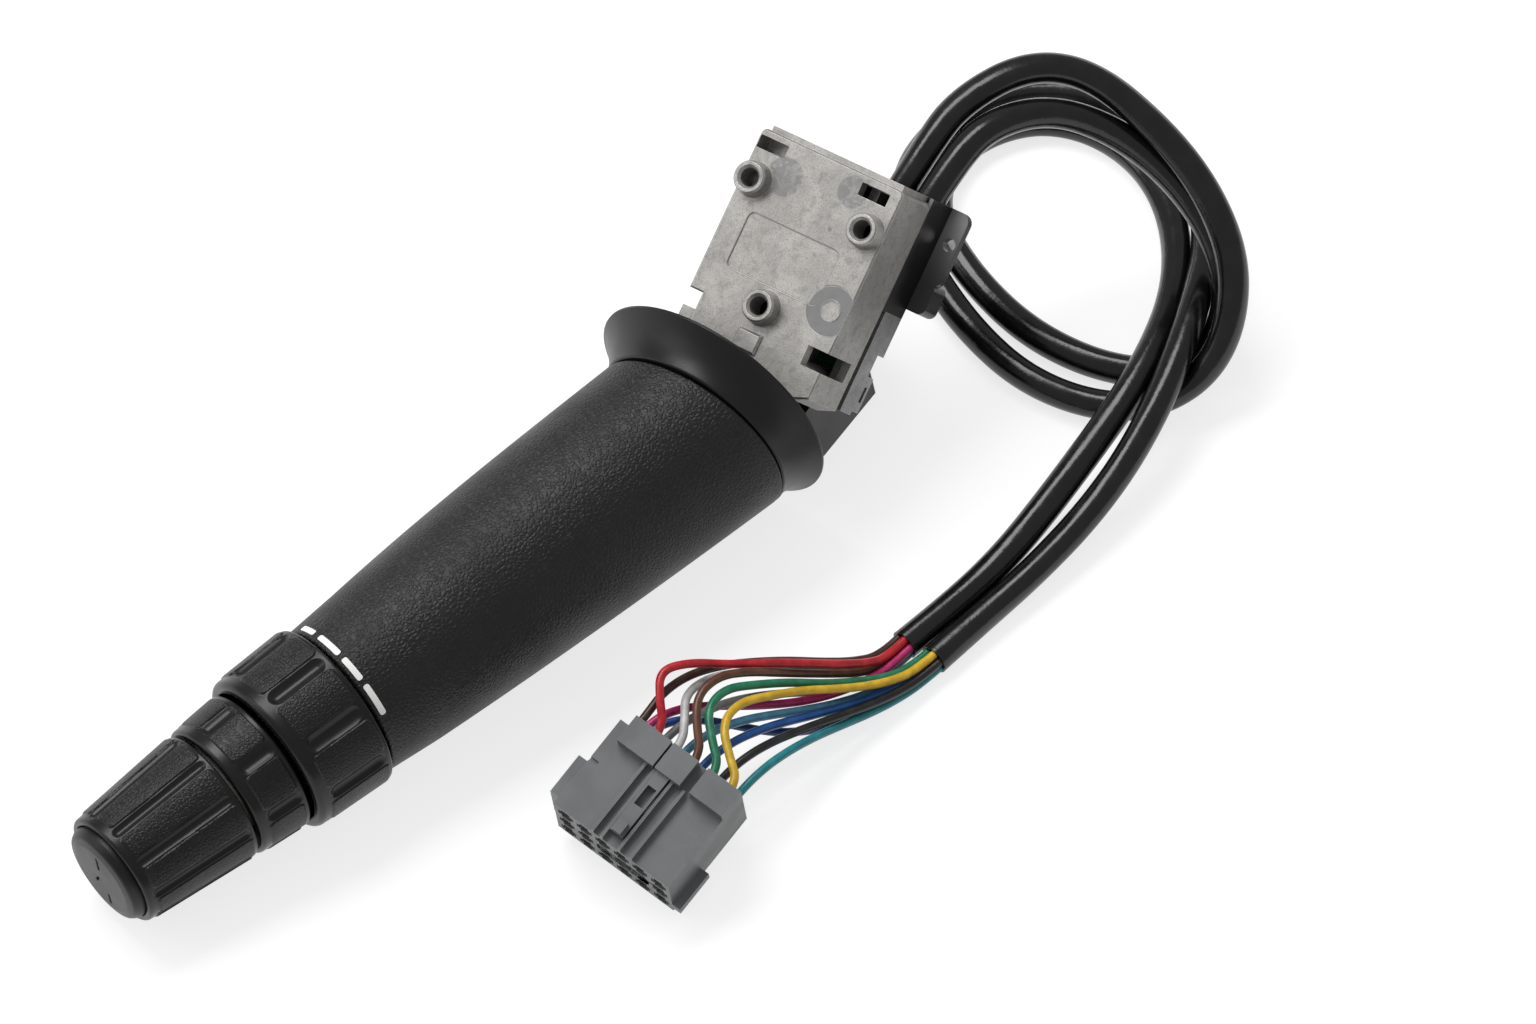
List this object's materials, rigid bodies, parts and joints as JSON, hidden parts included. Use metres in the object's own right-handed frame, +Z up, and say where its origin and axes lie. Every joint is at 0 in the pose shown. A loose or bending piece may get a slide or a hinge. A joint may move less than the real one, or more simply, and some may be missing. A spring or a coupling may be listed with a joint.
{
  "type": "combination stalk switch",
  "caption": "Steering column stalk switch: tapered grip with turning rings, end knob and button, cast fixing plate, sleeved leads and a flat cable connector.",
  "frame": {"origin": "on the table, under the middle of the switch without its leads", "axes": "+Z up as it lies, +X from the end button towards the fixing plate, along the stalk seen from above"},
  "size_m": [0.3054, 0.1298, 0.0667],
  "materials": {
    "cast_metal": "die-cast, matt",
    "cover_metal": "die-cast, dark grey",
    "black_plastic": "moulded, satin",
    "grip_plastic": "fine leather-like grain",
    "ring_plastic": "moulded, satin",
    "white_ink": "printed",
    "steel": "bright",
    "contact_brass": "bright",
    "rubber": "matt",
    "board": "laminate",
    "natural_plastic": "moulded",
    "connector_plastic": "moulded, satin",
    "sleeve_pvc": "soft, slightly glossy",
    "insulation_dark_brown": "smooth",
    "insulation_red": "smooth",
    "insulation_white": "smooth",
    "insulation_brown": "smooth",
    "insulation_green": "smooth",
    "insulation_yellow": "smooth",
    "insulation_magenta": "smooth",
    "insulation_grey": "smooth",
    "insulation_light_blue": "smooth",
    "insulation_blue": "smooth",
    "insulation_black": "smooth",
    "insulation_teal": "smooth",
    "insulation_dark_blue": "smooth"
  },
  "bodies": {
    "housing": {"front_housing": "cast_metal", "rear_cover": "cover_metal", "top_cover": "cover_metal", "cable_box": "black_plastic", "cable_grommet": "rubber", "inner_leads": "sleeve_pvc", "cover_screws": "steel", "pivot_body": "black_plastic", "detent_block": "natural_plastic", "wiper_track": "contact_brass", "circuit_board": "board", "board_contacts": "contact_brass", "connector_housing": "connector_plastic", "connector_terminals": "contact_brass", "terminal_retainer": "natural_plastic", "sleeve_1": "sleeve_pvc", "sleeve_2": "sleeve_pvc", "wire_dark_brown": "insulation_dark_brown", "wire_red": "insulation_red", "wire_white": "insulation_white", "wire_brown": "insulation_brown", "wire_green": "insulation_green", "wire_yellow": "insulation_yellow", "wire_magenta": "insulation_magenta", "wire_grey": "insulation_grey", "wire_light_blue": "insulation_light_blue", "wire_blue": "insulation_blue", "wire_black": "insulation_black", "wire_teal": "insulation_teal", "wire_dark_blue": "insulation_dark_blue"},
    "gimbal": {"gimbal_yoke": "natural_plastic", "gimbal_pins": "steel", "yoke_wiper": "contact_brass"},
    "lever": {"lever_root": "natural_plastic", "lever_pins": "steel", "lever_tube": "steel", "tube_bush": "natural_plastic", "handle_shell": "grip_plastic", "collar": "black_plastic", "white_marks": "white_ink", "detent_plunger": "natural_plastic", "detent_spring": "steel", "ring_1_track": "board", "ring_2_track": "board", "knob_track": "board", "retaining_ring": "steel", "button_spring": "steel", "stalk_cable": "sleeve_pvc"},
    "first_ring": {"ring_1": "ring_plastic", "ring_1_wiper": "contact_brass"},
    "second_ring": {"ring_2": "ring_plastic", "ring_2_wiper": "contact_brass"},
    "knob": {"end_knob": "ring_plastic", "knob_wiper": "contact_brass"},
    "button": {"end_button": "ring_plastic"}
  },
  "joints": [
    {"name": "lever_up_down", "type": "hinge", "parent": "housing", "child": "gimbal", "pos_m": [0.07378, 0.00421, 0.02905], "axis": [-0.0879, 0.129, 0.9877], "range_deg": [-8, 8]},
    {"name": "lever_push_pull", "type": "hinge", "parent": "gimbal", "child": "lever", "pos_m": [0.07378, 0.00421, 0.02905], "axis": [0.2803, -0.9483, 0.1488], "range_deg": [-5, 6], "stiffness_Nm_per_rad": 3},
    {"name": "ring_1_turn", "type": "hinge", "parent": "lever", "child": "first_ring", "pos_m": [-0.06226, -0.00742, 0.01976], "axis": [-0.9972, -0.0061, -0.075], "range_deg": [-20, 40]},
    {"name": "ring_2_turn", "type": "hinge", "parent": "lever", "child": "second_ring", "pos_m": [-0.07822, -0.00752, 0.01856], "axis": [-0.9972, -0.0061, -0.075], "range_deg": [-25, 25]},
    {"name": "knob_turn", "type": "hinge", "parent": "lever", "child": "knob", "pos_m": [-0.09816, -0.00764, 0.01706], "axis": [-0.9972, -0.0061, -0.075], "range_deg": [-60, 60]},
    {"name": "button_push", "type": "slide", "parent": "lever", "child": "button", "axis": [0.9972, 0.0061, 0.075], "range_m": [0, 0.003], "stiffness_N_per_m": 600, "springref_m": -0.005}
  ]
}
